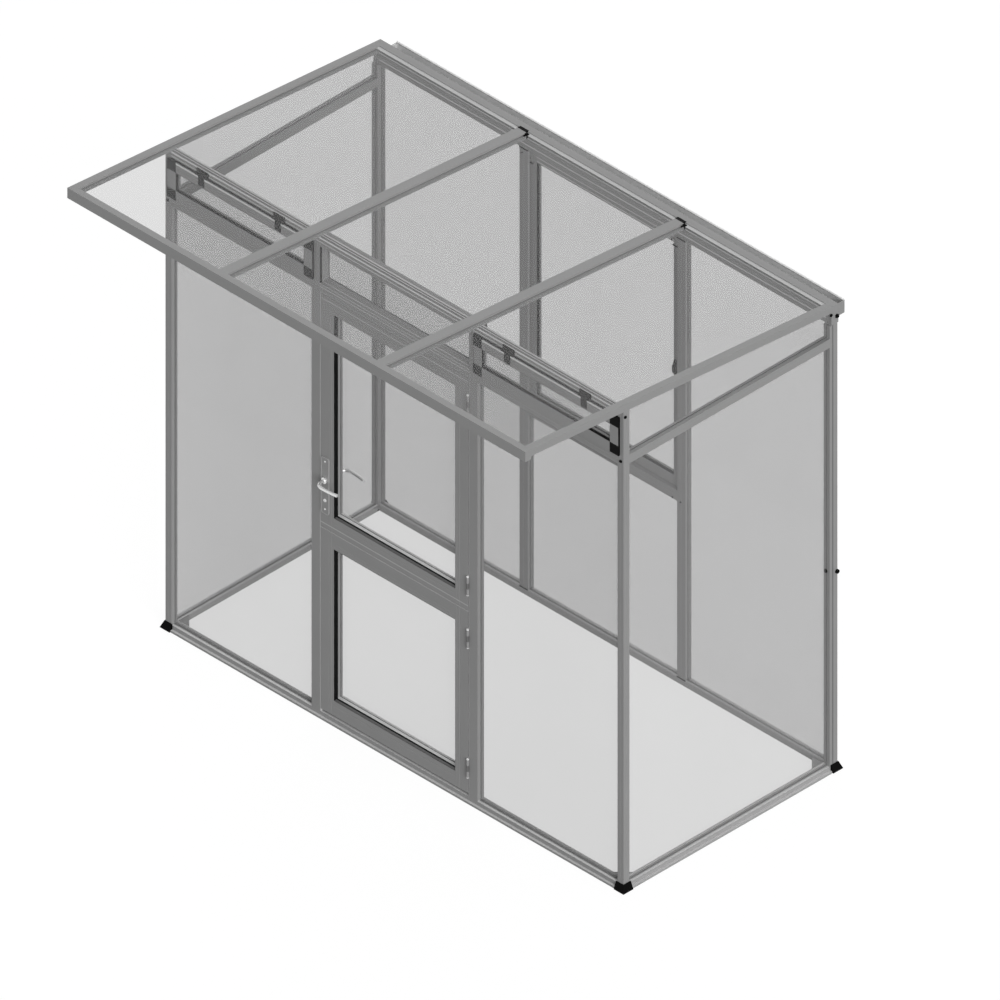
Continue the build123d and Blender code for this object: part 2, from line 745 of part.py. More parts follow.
def lock_plate(y0, y1):
    outline = RectangleRounded(plate_width, plate_height, plate_corner)
    outline -= Pos(0, lever_height - plate_z) * Circle(lever_neck_radius + fit)
    outline -= Pos(0, lever_height - plate_z - keyhole_below_axis) * Circle(keyhole_radius)
    return Pos(lever_x, y1, plate_z) * Rot(90, 0, 0) * extrude(outline, y1 - y0)


lock_plates = [lock_plate(-plate_thickness, 0),
               lock_plate(door_thickness, door_thickness + plate_thickness)]
upper_stiles[0] -= along_door(spindle_hole_radius, -1, door_thickness + 2)


def lever_arm(face, outward):
    """A rose on the plate and a bar that bends along the door and in again at its tip."""
    at = lambda t: face + outward * t
    rose_face = plate_thickness + lever_rose_gap
    straight = (lever_x, at(lever_reach - lever_bend), lever_height)
    turned = (lever_x + lever_bend, at(lever_reach), lever_height)
    neck = Line((lever_x, at(rose_face), lever_height), straight)
    bend = TangentArc(straight, turned, tangent=(0, outward, 0))
    bar = TangentArc(turned, (lever_x + lever_length, at(lever_end_reach), lever_height),
                     tangent=(1, 0, 0))
    section = Plane(origin=neck @ 0, z_dir=neck % 0) * RegularPolygon(lever_bar_radius, lever_sides)
    arm = sweep(section, path=Wire([neck, bend, bar]))
    arm += along_door(lever_rose_radius, at(rose_face), outward * lever_rose_thickness)
    return arm + along_door(lever_neck_radius, at(fit), outward * (rose_face - fit))


lever = Pos(lever_x, door_thickness / 2, lever_height) * Box(
    2 * spindle_half, door_thickness + 2 * spindle_end, 2 * spindle_half)
lever += lever_arm(0, -1)
lever += lever_arm(door_thickness, 1)


# Write every node

save("front_sill", front_sill)
save("back_sill", back_sill)
save("side_sills", left_sill, right_sill)
save("corner_feet", *feet)
save("corner_brackets", *brackets)
save("corner_posts", *front_posts, *back_posts)
save("door_posts", *door_posts)
save("back_bay_posts", *back_bay_posts)
save("post_shoes", *post_shoes)
save("eaves_rail", eaves_rail)
save("fanlight_head_rail", fanlight_head)
save("side_rails", left_side_rail, right_side_rail)
save("vent_sill_rails", *vent_rails)
save("door_head_rail", door_head)
save("window_sill_rail", window_sill)
save("roof_front_beam", front_beam)
save("roof_back_beam", back_beam)
save("end_rafters", left_rafter, right_rafter)
save("middle_rafters", *middle_rafters)
save("rafter_end_caps", *rafter_caps)
save("beam_end_caps", *left_caps, *right_caps)
save("roof_panes", *roof_panes)
save("roof_glazing_strips", *glazing_strips)
save("front_panes", *front_panes)
save("fanlight_pane", fanlight)
save("back_panes", *back_panes)
save("side_panes", *left_side_panes, *right_side_panes)
save("gutter", gutter)
save("vent_frames", *left_vent[:2], *right_vent[:2])
save("vent_corner_joints", left_vent[2], right_vent[2])
save("vent_panes", left_vent[3], right_vent[3])
save("vent_seals", left_vent[4], right_vent[4])
save("vent_hinges", *vent_hinges)
save("window_frame", *window[:2])
save("window_corner_joints", window[2])
save("window_pane", window[3])
save("window_seal", window[4])
save("window_handle", window_handle)
save("door_frame_hinges", *[post_side for post_side, leaf_side in lower_hinges + upper_hinges])
save("lower_door_stiles", *lower_stiles)
save("lower_door_rails", *lower_rails)
save("lower_door_pane", lower_pane)
save("lower_door_seal", lower_seal)
save("lower_door_hinges", *[leaf_side for post_side, leaf_side in lower_hinges])
save("upper_door_stiles", *upper_stiles)
save("upper_door_rails", *upper_rails)
save("upper_door_pane", upper_pane)
save("upper_door_seal", upper_seal)
save("upper_door_hinges", *[leaf_side for post_side, leaf_side in upper_hinges])
save("lock_plates", *lock_plates)
save("lever_handle", lever)
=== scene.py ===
# %% [markdown]
# # A lean-to glass greenhouse
# The construction comes as a fixed frame: every bar, pane, hinge and foot is already at its
# real size and place, in metres. This script gives it its finish, adds the small things
# that a builder screws, clips and presses on at the end, and sets up the picture.
# First the frame is loaded.

# %% Load the frame
from collections import namedtuple
from math import pi, radians

import bmesh
import bpy
from mathutils import Matrix, Vector


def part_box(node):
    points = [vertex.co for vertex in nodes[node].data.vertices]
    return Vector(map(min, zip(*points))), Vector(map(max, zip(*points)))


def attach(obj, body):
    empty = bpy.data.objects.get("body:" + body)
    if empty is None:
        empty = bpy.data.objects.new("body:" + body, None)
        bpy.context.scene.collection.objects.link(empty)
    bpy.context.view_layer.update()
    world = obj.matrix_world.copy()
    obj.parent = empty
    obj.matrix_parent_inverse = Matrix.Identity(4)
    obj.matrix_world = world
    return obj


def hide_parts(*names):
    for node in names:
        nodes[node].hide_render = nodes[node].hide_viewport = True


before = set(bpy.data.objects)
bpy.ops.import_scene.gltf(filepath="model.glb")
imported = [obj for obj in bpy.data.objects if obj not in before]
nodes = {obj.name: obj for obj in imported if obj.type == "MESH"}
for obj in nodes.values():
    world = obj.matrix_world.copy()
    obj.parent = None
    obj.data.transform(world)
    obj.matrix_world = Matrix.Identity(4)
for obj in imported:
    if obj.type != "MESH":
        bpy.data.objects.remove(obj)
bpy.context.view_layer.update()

# %% [markdown]
# ## Camera
# The picture is an isometric view: the three axes are shortened alike, and nothing gets
# smaller with distance. An orthographic camera that looks down the cube's diagonal gives
# exactly that. Its frame is fixed by one known length: how many pixels a metre takes.

# %% Isometric camera
PICTURE_SIDE = 1000            # pixels
PIXELS_PER_METRE = 280.64      # across the line of sight
CENTRE_RIGHT = 0.1472          # where the picture's middle lies, along the camera's own axes
CENTRE_UP = 0.7918
CAMERA_DISTANCE = 12.0

right_axis = Vector((1, 1, 0)).normalized()
up_axis = Vector((-1, 1, 2)).normalized()
back_axis = right_axis.cross(up_axis)

camera_data = bpy.data.cameras.new("camera")
camera_data.type = "ORTHO"
camera_data.ortho_scale = PICTURE_SIDE / PIXELS_PER_METRE
camera_data.clip_end = 100
camera = bpy.data.objects.new("camera", camera_data)
bpy.context.scene.collection.objects.link(camera)
turn = Matrix((right_axis, up_axis, back_axis)).transposed().to_4x4()
place = CENTRE_RIGHT * right_axis + CENTRE_UP * up_axis + CAMERA_DISTANCE * back_axis
camera.matrix_world = Matrix.Translation(place) @ turn
bpy.context.scene.camera = camera
print("camera at", [round(value, 3) for value in place])

# %% [markdown]
# ## Light
# Soft studio light from three sides. A wide key lamp stands low on the right of the camera, so
# an upward face and the right side come out alike and the front a little darker. A weaker lamp
# behind keeps the back walls from going black, and a faint sky fills the rest. Together they
# add up to about one, so a colour renders as it is written.

# %% Sky and lamps
SKY_STRENGTH = 0.28
STUDIO_WHITE = 1.0

scene = bpy.context.scene
scene.view_settings.view_transform = "Standard"


def add_lamp(name, share, towards, width):
    """A distant lamp that gives a facing white surface this share of full brightness."""
    data = bpy.data.lights.new(name, "SUN")
    data.energy = share * pi
    data.angle = radians(width)
    lamp = bpy.data.objects.new(name, data)
    scene.collection.objects.link(lamp)
    lamp.rotation_euler = Vector(towards).to_track_quat("Z", "Y").to_euler()
    return lamp


lamps = [add_lamp("key", 0.78, (0.67, -0.36, 0.28), 40),
         add_lamp("back", 0.35, (-0.65, 0.70, 0.30), 60)]
print("lamps", [(lamp.name, round(lamp.data.energy, 2)) for lamp in lamps])

# %% [markdown]
# The camera, and anything that mirrors or lets light through, sees a white studio all round.
# Only the light that the sky throws on matt surfaces is faint. The Light Path node tells the
# kinds of ray apart.

# %% White studio
world = bpy.data.worlds.new("studio")
scene.world = world
world.use_nodes = True
sky = world.node_tree.nodes["Background"]
sky.inputs["Color"].default_value = (1, 1, 1, 1)
rays = world.node_tree.nodes.new("ShaderNodeLightPath")
links = world.node_tree.links


def larger(first, second):
    node = world.node_tree.nodes.new("ShaderNodeMath")
    node.operation = "MAXIMUM"
    links.new(first, node.inputs[0])
    links.new(second, node.inputs[1])
    return node.outputs[0]


seen_white = larger(rays.outputs["Is Camera Ray"], rays.outputs["Is Transmission Ray"])
seen_white = larger(seen_white, rays.outputs["Is Glossy Ray"])
level = world.node_tree.nodes.new("ShaderNodeMapRange")
level.inputs["To Min"].default_value = SKY_STRENGTH
level.inputs["To Max"].default_value = STUDIO_WHITE
links.new(seen_white, level.inputs["Value"])
links.new(level.outputs["Result"], sky.inputs["Strength"])
print("sky", SKY_STRENGTH, "on matt surfaces,", STUDIO_WHITE, "in glass and metal")

# %% [markdown]
# ## Shader maths
# Material nodes are easier to read as sums. This small class wraps one socket, and each
# operator on it adds a Math node, so `1 - mask * 0.3` builds the nodes that say so.

# %% A socket that can be reckoned with
class Value:
    def __init__(self, material, socket):
        self.material = material
        self.socket = socket

    def _maths(self, operation, first, second):
        return self.material.node("ShaderNodeMath", {"operation": operation}, [first, second])

    def __add__(self, other):
        return self._maths("ADD", self, other)

    def __radd__(self, other):
        return self._maths("ADD", other, self)

    def __sub__(self, other):
        return self._maths("SUBTRACT", self, other)

    def __rsub__(self, other):
        return self._maths("SUBTRACT", other, self)

    def __mul__(self, other):
        return self._maths("MULTIPLY", self, other)

    def __rmul__(self, other):
        return self._maths("MULTIPLY", other, self)

    def above(self, limit):
        return self._maths("GREATER_THAN", self, limit)


class Finish:
    """One material: its Principled shader, and a single way to add any other node."""

    def __init__(self, name, colour, roughness, metallic=0.0, specular=0.5):
        self.data = bpy.data.materials.new(name)
        self.data.use_nodes = True
        self.tree = self.data.node_tree
        self.shader = self.tree.nodes["Principled BSDF"]
        self.set("Base Color", (*colour, 1))
        self.set("Roughness", roughness)
        self.set("Metallic", metallic)
        self.set("Specular IOR Level", specular)

    def set(self, name, value):
        if isinstance(value, Value):
            self.tree.links.new(value.socket, self.shader.inputs[name])
        else:
            self.shader.inputs[name].default_value = value

    def node(self, kind, settings, sockets, output=0):
        made = self.tree.nodes.new(kind)
        for name, value in settings.items():
            setattr(made, name, value)
        pairs = sockets.items() if isinstance(sockets, dict) else enumerate(sockets)
        for key, value in pairs:
            if isinstance(value, Value):
                self.tree.links.new(value.socket, made.inputs[key])
            else:
                made.inputs[key].default_value = value
        return Value(self, made.outputs[output])

    def place(self):
        return self.node("ShaderNodeTexCoord", {}, {}, "Object")

    def noise(self, scale, detail=2.0):
        return self.node("ShaderNodeTexNoise", {}, {"Vector": self.place(), "Scale": scale,
                                                     "Detail": detail})

    def mix(self, mask, first, second):
        return self.node("ShaderNodeMix", {"data_type": "RGBA"},
                         {0: mask, 6: (*first, 1), 7: (*second, 1)}, 2)

    def bump(self, height, strength, distance):
        normal = self.node("ShaderNodeBump", {}, {"Height": height, "Strength": strength,
                                                   "Distance": distance})
        self.set("Normal", normal)


# %% [markdown]
# ## Finishes
# The bars are aluminium with a thin even grey coat: nearly flat in tone, with a very fine
# grain in the coat and a soft shine. A plain colour would look like paper, so a slow noise
# clouds the tone, and a fast one varies the shine and raises the grain.

# %% Grey coated aluminium
CLOUD_SCALE = 7.0
CLOUD_DARK = 0.95
CLOUD_LIGHT = 1.05
GRAIN_SHINE = 0.16             # how much the roughness varies, and where it starts
GRAIN_START = 0.07
GRAIN_DEPTH = 0.0004


def grey(level):
    return (level, level, level)


def worked(name, level, roughness, specular=0.3, metallic=0.0, grain_scale=900.0,
           strength=0.08):
    """A finish with slow clouds in its tone and a fine grain in its shine and relief."""
    finish = Finish(name, grey(level), roughness, metallic, specular)
    grain = finish.noise(grain_scale)
    cloud = finish.noise(CLOUD_SCALE)
    dark, light = grey(level * CLOUD_DARK), grey(level * CLOUD_LIGHT)
    finish.set("Base Color", finish.mix(cloud, dark, light))
    finish.set("Roughness", (roughness - GRAIN_START) + grain * GRAIN_SHINE)
    finish.bump(grain, strength, GRAIN_DEPTH)
    return finish


aluminium = worked("coated_aluminium", 0.30, 0.45).data
# A lighter copy of the coat for the back and side sills: painted light that lifts their shade.
sill_lit_aluminium = worked("sill_lit_aluminium", 0.38, 0.45).data
# A darker copy of the coat for the hinges: painted shade that dims the barrels' lit side.
hinge_shaded_metal = worked("hinge_shaded_metal", 0.14, 0.45).data
print("coats", aluminium.name, sill_lit_aluminium.name, hinge_shaded_metal.name)

# %% [markdown]
# ## Glass
# Clear glass shows as a faint grey veil with the studio mirrored in it. A true glass shader
# would bend the light and take long to settle, so the pane is a thin see-through grey. A slow
# noise in its cover keeps a large pane from looking like card. The roof's veil is thinner.

# %% Glass
STREAK_SCALE = 2.2
STREAK_BASE = 0.96
STREAK_SPAN = 0.08


def clear_glass(name, level, cover):
    """A see-through pane; the cover is the share of what lies behind that one face hides."""
    finish = Finish(name, grey(level), 0.06, specular=0.25)
    streak = finish.noise(STREAK_SCALE)
    finish.set("Alpha", cover * STREAK_BASE + streak * (cover * STREAK_SPAN))
    return finish.data


roof_glass = clear_glass("roof_glass", 0.21, 0.19)
wall_glass = clear_glass("wall_glass", 0.27, 0.228)
print("panes", roof_glass.name, wall_glass.name)

# %% [markdown]
# ## Plastic, rubber and bright metal
# Moulded plastic is deep black with a dull grain, and rubber is duller and coarser. The lever
# is polished, so its grain is the finest. The strips over the roof panes are bare metal, and
# their light grey is partly a painted highlight.
# One helper makes them all, because they differ only in tone, shine and grain.

# %% Plastic, rubber and bright metal
black_plastic = worked("black_plastic", 0.002, 0.5, 0.04, strength=0.2).data
rubber = worked("rubber", 0.006, 0.7, 0.05, grain_scale=300.0, strength=0.15).data
polished = worked("polished_aluminium", 0.80, 0.24, 0.5, 0.7, 1500.0, 0.04).data
# The roof glazing strips: bare metal, lighter still as a painted highlight.
strip_highlight_metal = worked("glazing_strip_highlight", 0.62, 0.4).data
print("finishes so far", len(bpy.data.materials))

# %% [markdown]
# ## Dressing the frame
# Each bar, pane and joint is one node with one finish. Their names sort them: panes and seals
# by how they end, black parts by a list, and all that is left is coated bar. Panes and roof
# bars cast no shadow, so the inside stays as light as a drawing shows it.

# %% Give each node its finish
def dress(names, material):
    for name in names:
        slots = nodes[name].data.materials
        slots.clear()
        slots.append(material)


panes = [name for name in nodes if name.endswith(("_pane", "_panes"))]
seals = [name for name in nodes if name.endswith(("_seal", "_seals"))]
plastic = ["corner_feet", "post_shoes", "vent_corner_joints",
           "vent_hinges", "window_handle", "rafter_end_caps"]
bright = ["lever_handle"]
strips = ["roof_glazing_strips"]
bars = [name for name in nodes if name not in panes + seals + plastic + bright + strips]
dress(bars, aluminium)
dress([name for name in panes if name == "roof_panes"], roof_glass)
dress([name for name in panes if name != "roof_panes"], wall_glass)
dress(seals, rubber)
dress(plastic, black_plastic)
dress(bright, polished)
dress(strips, strip_highlight_metal)
# The sills get the lighter copy of the coat, painted light, and the hinges the darker one, painted
# shade.
dress(["back_sill", "side_sills"], sill_lit_aluminium)
dress(["lower_door_hinges", "upper_door_hinges"], hinge_shaded_metal)
roof_bars = ["roof_front_beam", "roof_back_beam", "end_rafters", "middle_rafters"]
for name in panes + roof_bars:
    nodes[name].visible_shadow = False
print("bars", len(bars), "panes", len(panes), "seals", len(seals), "black", len(plastic))

# %% [markdown]
# ## Places on the frame
# The small parts are laid out in millimetres from the foot of the front left post, which is
# how a fitter measures. Most places are read from the boxes of the bars that carry the part,
# and the rest are given as numbers.

# %% Where the bars are
MM = 0.001
Sides = namedtuple("Sides", "x0 x1 y0 y1 z0 z1")
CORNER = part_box("corner_posts")[0]
CORNER = Vector((CORNER.x, CORNER.y, 0))


def spot(x, y, z):
    """A place in metres, from millimetres off the foot of the front left post."""
    return CORNER + Vector((x, y, z)) * MM


def sides(node, keep=lambda point: True):
    """The six sides of a node, or of the part of it that is kept, in those millimetres."""
    points = [(vertex.co - CORNER) / MM for vertex in nodes[node].data.vertices
              if keep(vertex.co)]
    low = [min(point[axis] for point in points) for axis in range(3)]
    high = [max(point[axis] for point in points) for axis in range(3)]
    return Sides(low[0], high[0], low[1], high[1], low[2], high[2])


def left_half(point):
    return point.x < 0


def right_half(point):
    return point.x > 0


posts = sides("corner_posts")
eaves = sides("eaves_rail")
front_beam = sides("roof_front_beam")
back_beam = sides("roof_back_beam")
vents = [sides("vent_frames", half) for half in (left_half, right_half)]
slope = (front_beam.z1 - back_beam.z1) / (back_beam.y0 - front_beam.y0)
LENGTH = posts.x1
POST_WIDE = 30


def roof_height(y):
    return front_beam.z1 - (y - front_beam.y0) * slope


print("vents", vents, "slope", round(slope, 4))

# %% [markdown]
# ## Making small parts
# Nearly all the small parts are strips, pins or screw heads. A strip starts as a cube that is
# stretched and gets its edges rounded by a bevel. A pin is a closed cone with equal ends. A
# screw head is turned once, and stamped wherever one is needed.

# %% Strips, pins and stamped heads
def strip(bm, low, high, rounding=0.6):
    """A bar between two corners, in millimetres, with rounded edges."""
    start, end = spot(*low), spot(*high)
    made = bmesh.ops.create_cube(bm, size=1)["verts"]
    bmesh.ops.scale(bm, vec=end - start, verts=made)
    bmesh.ops.translate(bm, vec=(start + end) / 2, verts=made)
    edges = list({edge for vertex in made for edge in vertex.link_edges})
    bmesh.ops.bevel(bm, geom=edges, offset=rounding * MM, segments=2, profile=0.5,
                    material=-1, affect="EDGES")


def pin(bm, start, end, radius, corners=12):
    """A round bar from one place to another, closed at both ends."""
    start, end = spot(*start), spot(*end)
    run = end - start
    made = bmesh.ops.create_cone(bm, cap_ends=True, segments=corners, radius1=radius * MM,
                                 radius2=radius * MM, depth=run.length)["verts"]
    turn = run.to_track_quat("Z", "Y").to_matrix().to_4x4()
    bmesh.ops.transform(bm, matrix=Matrix.Translation((start + end) / 2) @ turn, verts=made)


def head(radius, height, corners=16, hollow=0.45):
    """A screw head that stands on Z = 0, with a rounded rim and a hollow in its top."""
    bm = bmesh.new()
    bmesh.ops.create_cone(bm, cap_ends=True, segments=corners, radius1=radius * MM,
                          radius2=radius * MM, depth=height * MM)
    bmesh.ops.translate(bm, vec=(0, 0, height * MM / 2), verts=bm.verts)
    top = max(bm.faces, key=lambda face: face.calc_center_median().z)
    bmesh.ops.bevel(bm, geom=list(top.edges), offset=height * MM * 0.35, segments=2,
                    profile=0.5, material=-1, affect="EDGES")
    top = max(bm.faces, key=lambda face: face.calc_center_median().z)
    bmesh.ops.inset_region(bm, faces=[top], thickness=radius * MM * hollow)
    bmesh.ops.translate(bm, vec=(0, 0, -height * MM * 0.4), verts=top.verts)
    mesh = bpy.data.meshes.new("head")
    bm.to_mesh(mesh)
    bm.free()
    return mesh


def stamp(bm, pattern, place, facing):
    """Add a copy of a head at a place in millimetres, looking the way it faces."""
    before = set(bm.verts)
    bm.from_mesh(pattern)
    added = [vertex for vertex in bm.verts if vertex not in before]
    turn = Vector(facing).to_track_quat("Z", "Y").to_matrix().to_4x4()
    bmesh.ops.transform(bm, matrix=Matrix.Translation(spot(*place)) @ turn, verts=added)


def finish_piece(name, bm, body, material):
    """Turn the faces outwards, make the object and tie it to its body."""
    bmesh.ops.recalc_face_normals(bm, faces=bm.faces)
    mesh = bpy.data.meshes.new(name)
    bm.to_mesh(mesh)
    bm.free()
    mesh.materials.append(material)
    piece = bpy.data.objects.new(name, mesh)
    scene.collection.objects.link(piece)
    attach(piece, body)
    print(name, len(mesh.polygons), "faces on", body)
    return piece


OUT = (0, -1, 0)
screw = head(3.5, 2.0)
bolt = head(6.5, 4.5, corners=6, hollow=0.3)
long_bolt = head(8.5, 8.0, corners=6, hollow=0.3)
print("heads", [len(mesh.polygons) for mesh in (screw, bolt, long_bolt)], "faces")

# %% [markdown]
# ## Edges of the eaves rail
# The rail over the vents is a drawn profile with a rounded edge in front and two ribs on its
# top. They could be cut into the rail, but as separate thin strips they stay crisp. The
# near-white strip on the edge and the light grey ribs are painted highlights, and the dark
# grey rubber strips in the grooves beside the ribs also paint the grooves' shade.

# %% Eaves rail edges
# Near-white metal: a painted highlight on the eaves edge, vent edges, gutter rim, hinge domes, lock
# screws and key cylinders.
highlight_metal = worked("painted_highlight_metal", 0.92, 0.35).data
# Light grey metal, a lighter copy of the coat: painted highlights on ribs, sill lips and door
# beads.
rib_highlight_metal = worked("rib_highlight_metal", 0.72, 0.4).data
EDGE_TALL = 5.5
EDGE_PROUD = 1.2
RIBS = ((23.0, 29.0), (12.0, 15.0))
GROOVE_STRIPS = ((17.0, 20.0), (6.0, 9.0))
RIB_RISE = 1.2
FRONT_RIB = (19, 22)           # above the rail's underside
FACE_PROUD = 0.8               # how far a rib stands out of a face, and how deep it is set in
SET_IN = 0.2
SUNK = 0.5

bm = bmesh.new()
strip(bm, (eaves.x0, -EDGE_PROUD, eaves.z1 - EDGE_TALL), (eaves.x1, SET_IN, eaves.z1))
finish_piece("eaves_front_edge", bm, "frame", highlight_metal)


def rail_top(y):
    return eaves.z1 - y * slope


bm = bmesh.new()
for y0, y1 in RIBS:
    strip(bm, (eaves.x0, y0, rail_top(y1) - SUNK), (eaves.x1, y1, rail_top(y0) + RIB_RISE))
strip(bm, (eaves.x0, -FACE_PROUD, eaves.z0 + FRONT_RIB[0]),
      (eaves.x1, SET_IN, eaves.z0 + FRONT_RIB[1]), 0.3)
finish_piece("eaves_ribs", bm, "frame", rib_highlight_metal)

# Dark grey strips: rubber in the eaves grooves, and painted shade along grooves, the rear channels
# and under the vent sashes.
shade_line_rubber = worked("shade_line_rubber", 0.18, 0.7, 0.2, grain_scale=300.0).data

bm = bmesh.new()
for y0, y1 in GROOVE_STRIPS:
    strip(bm, (eaves.x0, y0, rail_top(y1) - SUNK), (eaves.x1, y1, rail_top(y0) + SUNK), 0.3)
finish_piece("eaves_top_seals", bm, "frame", shade_line_rubber)

# %% [markdown]
# ## Vent weather strips and edges
# Each vent closes against the rail above it with a black rubber strip, and its own top edge
# carries a near-white strip, a painted highlight. Rubber also lines both sides of its flange.
# The strip stops short of the hinges, which would crush it. A dark grey strip under the
# sash's top member is painted shade.

# %% Vent strips
SASH_MEMBER = 42.0
SASH_CORNER = 43.0
SEAL_TALL = 5.0
SEAL_PROUD = 5.0
SIDE_SEAL = 1.5
HINGE_HALF = 29.0
HINGE_OFFSET = 193.0
TOP_EDGE_TALL = 7

seals_bm = bmesh.new()
edges_bm = bmesh.new()
lips_bm = bmesh.new()
for vent in vents:
    middle = (vent.x0 + vent.x1) / 2
    first_hinge, second_hinge = middle - HINGE_OFFSET, middle + HINGE_OFFSET
    stops = [vent.x0 - 1, first_hinge - HINGE_HALF, first_hinge + HINGE_HALF,
             second_hinge - HINGE_HALF, second_hinge + HINGE_HALF, vent.x1 + 1]
    for x0, x1 in zip(stops[::2], stops[1::2]):
        strip(seals_bm, (max(x0, posts.x0 + POST_WIDE), -SEAL_PROUD, vent.z1 + SET_IN),
              (min(x1, LENGTH - POST_WIDE), 0, vent.z1 + SEAL_TALL))
    for x0, x1 in ((vent.x0 - SIDE_SEAL, vent.x0), (vent.x1, vent.x1 + SIDE_SEAL)):
        strip(seals_bm, (x0, vent.y0, vent.z0), (x1, -0.3, vent.z1), 0.3)
    inner0, inner1 = vent.x0 + SASH_CORNER, vent.x1 - SASH_CORNER
    strip(edges_bm, (inner0, vent.y0 - 1, vent.z1 - TOP_EDGE_TALL),
          (inner1, vent.y0 + SET_IN, vent.z1))
    # A dark grey strip under the top member: painted shade.
    strip(lips_bm, (inner0, vent.y0 - 0.6, vent.z1 - SASH_MEMBER - 2),
          (inner1, vent.y0 + 3, vent.z1 - SASH_MEMBER + SUNK), 0.4)
finish_piece("vent_weather_strips", seals_bm, "frame", rubber)
finish_piece("vent_top_edges", edges_bm, "frame", highlight_metal)
finish_piece("vent_shade_lines", lips_bm, "frame", shade_line_rubber)

# %% [markdown]
# ## Rear ends of the rafters
# A black end plug closes each middle rafter where it meets the back beam, and a small clip
# beside it holds the glazing strip down.

# %% Rafter plugs and clips
PLUG_BACK = 5.0
PLUG_RISE = 1.6
CLIP = 14.0
CLIP_DROP = 8
CLIP_TALL = 7

bm = bmesh.new()
for half in (left_half, right_half):
    cap = sides("rafter_end_caps", half)
    top = roof_height(cap.y1)
    strip(bm, (cap.x0, cap.y0 - 1, top - 3), (cap.x1, cap.y1 + PLUG_BACK, top + PLUG_RISE))
    under = top - CLIP_DROP
    strip(bm, (cap.x1, cap.y0 - 8, under), (cap.x1 + CLIP, cap.y0 + 2, under + CLIP_TALL))
    strip(bm, (cap.x1 + 2, cap.y0 - 18, under), (cap.x1 + 7, cap.y0 - 7, under + 5))
    stamp(bm, screw, (cap.x1 + 9, cap.y0 - 3, under + CLIP_TALL), (0, 0, 1))
finish_piece("rafter_end_plugs", bm, "frame", black_plastic)

# %% [markdown]
# ## Ribs of the back beam and the window
# The drawn profile of the back beam has fine ribs all along its face, and so has the top rail
# of the window below it. They are strips as on the eaves rail, and stop at the corner posts
# and at the window's corner joints. Their light grey is a painted highlight.

# %% Back ribs
window = sides("window_frame")
BACK_RIBS = (50.0, 20.0)
BACK_RIB_TALL = 4
WINDOW_RIBS = (16.0, 34.0)
WINDOW_RIB_TALL = 3

bm = bmesh.new()
for rise in BACK_RIBS:
    strip(bm, (posts.x0 + POST_WIDE, back_beam.y0 - 1, back_beam.z0 + rise),
          (LENGTH - POST_WIDE, back_beam.y0 + SET_IN, back_beam.z0 + rise + BACK_RIB_TALL), 0.4)
for drop in WINDOW_RIBS:
    strip(bm, (window.x0 + SASH_CORNER, window.y0 - FACE_PROUD, window.z1 - drop - WINDOW_RIB_TALL),
          (window.x1 - SASH_CORNER, window.y0 + SET_IN, window.z1 - drop), 0.3)
finish_piece("back_ribs", bm, "frame", rib_highlight_metal)

# %% [markdown]
# ## Gutter rim
# The gutter's rear rim is rolled over a rod, which makes it stiff; the rod is near-white, a
# painted highlight. Inside, the gutter is painted a lighter grey than its coat, painted light
# on faces that lie in shade: the finish asks where on the gutter a point lies, and the lighter
# grey starts a millimetre behind the outer faces.

# %% Gutter rim and painted light inside
gutter = sides("gutter")
SKIN = 1.0
COATED = 0.30
LIT_INSIDE = 0.62
RIM_RADIUS = 3.0


def between(value, low, high):
    """A mask that is 1 where the value lies between the two limits."""
    return value.above(low) * (1 - value.above(high))


# The lighter grey inside the gutter is painted light on its shaded faces.
gutter_lit_paint = worked("gutter_painted_light", COATED, 0.45)
where = gutter_lit_paint.place()
inside = 1
for axis, low, high in (("X", gutter.x0 + SKIN, gutter.x1 - SKIN),
                        ("Y", gutter.y0 + SKIN, gutter.y1 - SKIN),
                        ("Z", gutter.z0 + SKIN, gutter.z1 - SKIN)):
    shift = CORNER["XYZ".index(axis)]
    along = gutter_lit_paint.node("ShaderNodeSeparateXYZ", {}, [where], axis)
    inside = inside * between(along, low * MM + shift, high * MM + shift)
gutter_lit_paint.set("Base Color", gutter_lit_paint.mix(inside, grey(COATED), grey(LIT_INSIDE)))
dress(["gutter"], gutter_lit_paint.data)

bm = bmesh.new()
rim_y, rim_z = gutter.y1 - RIM_RADIUS, gutter.z1 + 1
pin(bm, (gutter.x0, rim_y, rim_z), (gutter.x1, rim_y, rim_z), RIM_RADIUS, corners=16)
finish_piece("gutter_rim", bm, "frame", highlight_metal)

# %% [markdown]
# ## Bolts
# The posts are bolted to the rails at their tops, with black hexagon heads on both ends of
# the greenhouse. A round knob with a disc on the rear right post fixes it to the wall, and
# small screws hold the window's post brackets. Each head is stamped from one turned shape, so
# all of a kind are alike.

# %% Bolts and screws
FRONT_BOLT_HEIGHT = 1871.0
TOP_BOLT_HEIGHT = 2066.0
BACK_BOLT_HEIGHT = 1992.0
WALL_FIXING_HEIGHT = 862.0
BACK_POST_DEEP = 39

